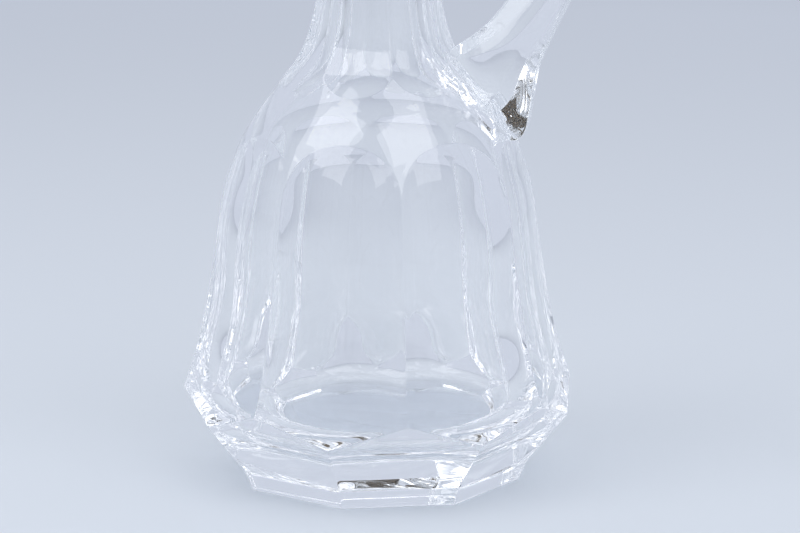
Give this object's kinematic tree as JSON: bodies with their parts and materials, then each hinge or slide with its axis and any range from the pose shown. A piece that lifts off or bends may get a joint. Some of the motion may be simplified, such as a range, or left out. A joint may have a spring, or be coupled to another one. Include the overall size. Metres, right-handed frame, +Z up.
{
  "type": "liqueur decanter",
  "caption": "Faceted cut glass decanter with an applied glass handle, a metal collar drawn out into a pouring spout, and a hinged domed lid with a cork seal, thumb piece and finial.",
  "frame": {"origin": "centre of the flat foot, on the plane the decanter stands on", "axes": "+Z up the vessel's axis; +X towards the handle and the lid's hinge; the pouring spout points to -X"},
  "size_m": [0.1122, 0.1082, 0.2096],
  "materials": {
    "crystal": "clear polished crystal",
    "cement": "set plaster",
    "silver_plate": "polished silver plate",
    "pin_steel": "drawn wire",
    "cork": "natural cork",
    "nut_brass": "turned, lightly worn"
  },
  "bodies": {
    "decanter": {"glass_vessel": "crystal", "glass_handle": "crystal", "collar_cement": "cement", "neck_collar": "silver_plate", "collar_ring": "silver_plate", "hinge_bracket": "silver_plate", "hinge_pin": "pin_steel"},
    "lid": {"lid_shell": "silver_plate", "lid_bezel": "silver_plate", "lid_strap": "silver_plate", "thumb_piece": "silver_plate", "lid_seal": "cork", "seal_washer": "nut_brass", "finial_knob": "silver_plate", "finial_nut": "nut_brass"}
  },
  "joints": [
    {"name": "lid_hinge", "type": "hinge", "parent": "decanter", "child": "lid", "pos_m": [0.0214, 0, 0.185], "axis": [0, 1, 0], "range_deg": [0, 95]}
  ]
}
